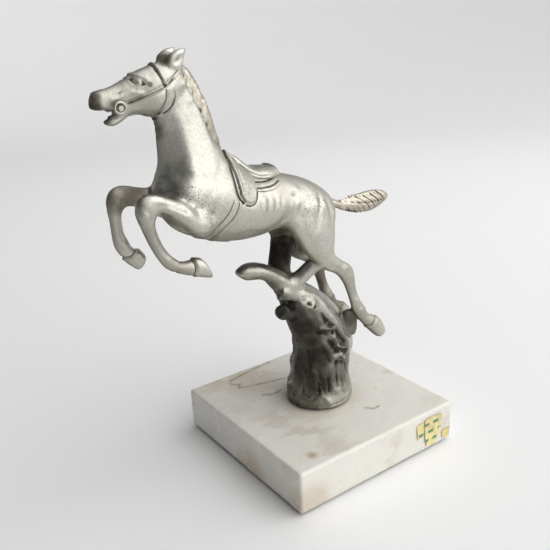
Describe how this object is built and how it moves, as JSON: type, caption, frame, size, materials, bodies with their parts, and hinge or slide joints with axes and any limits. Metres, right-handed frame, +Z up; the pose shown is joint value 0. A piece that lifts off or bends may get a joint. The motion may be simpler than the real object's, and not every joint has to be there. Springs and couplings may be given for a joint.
{
  "type": "horse hood ornament on marble base",
  "caption": "Leaping saddled horse mascot in plated white metal on a tree stump, fixed by a stud and nut to a square marble slab.",
  "frame": {"origin": "centre of the felt pad's underside, which rests on the table", "axes": "+Z up; the horse leaps towards -Y; its left (near) side is on +X; the slab's edges run along X and Y"},
  "size_m": [0.0767, 0.1188, 0.1571],
  "materials": {
    "plated_metal": "worn satin plate with fine pits",
    "dark_plated_metal": "dulled plate with dirt in the bark",
    "brassy_plate": "plate worn to a yellow tone",
    "steel_hardware": "plain zinc plated",
    "marble": "polished cream white marble with brown stains",
    "felt": "pressed felt",
    "label_paper": "torn printed paper",
    "old_glue": "yellowed glue"
  },
  "bodies": {
    "base": {"felt_pad": "felt", "marble_slab": "marble", "flat_washer": "steel_hardware", "printed_label_scrap": "label_paper", "small_label_scrap": "label_paper", "label_glue_patch": "old_glue"},
    "figure": {"lock_washer": "steel_hardware", "hex_nut": "steel_hardware", "mounting_stud": "steel_hardware", "tree_stump": "dark_plated_metal", "body_casting": "plated_metal", "head_and_neck": "plated_metal", "mane": "brassy_plate", "near_ear": "plated_metal", "off_ear": "plated_metal", "near_foreleg": "plated_metal", "off_foreleg": "plated_metal", "near_hindleg": "plated_metal", "off_hindleg": "plated_metal", "tail": "brassy_plate", "saddle_seat": "plated_metal", "near_saddle_flap": "plated_metal", "off_saddle_flap": "plated_metal", "near_saddle_cloth": "plated_metal", "off_saddle_cloth": "plated_metal", "girth": "plated_metal", "near_cheek_strap": "plated_metal", "off_cheek_strap": "plated_metal", "browband": "plated_metal", "throat_lash": "plated_metal", "bit_bar": "plated_metal", "near_bit_ring": "plated_metal", "off_bit_ring": "plated_metal", "near_support_strut": "plated_metal", "off_support_strut": "dark_plated_metal", "fetlock_web": "dark_plated_metal"}
  },
  "joints": [
    {"name": "figure_swivel", "type": "hinge", "parent": "base", "child": "figure", "pos_m": [0, 0, 0.0177], "axis": [0, 0, 1], "continuous": true}
  ]
}
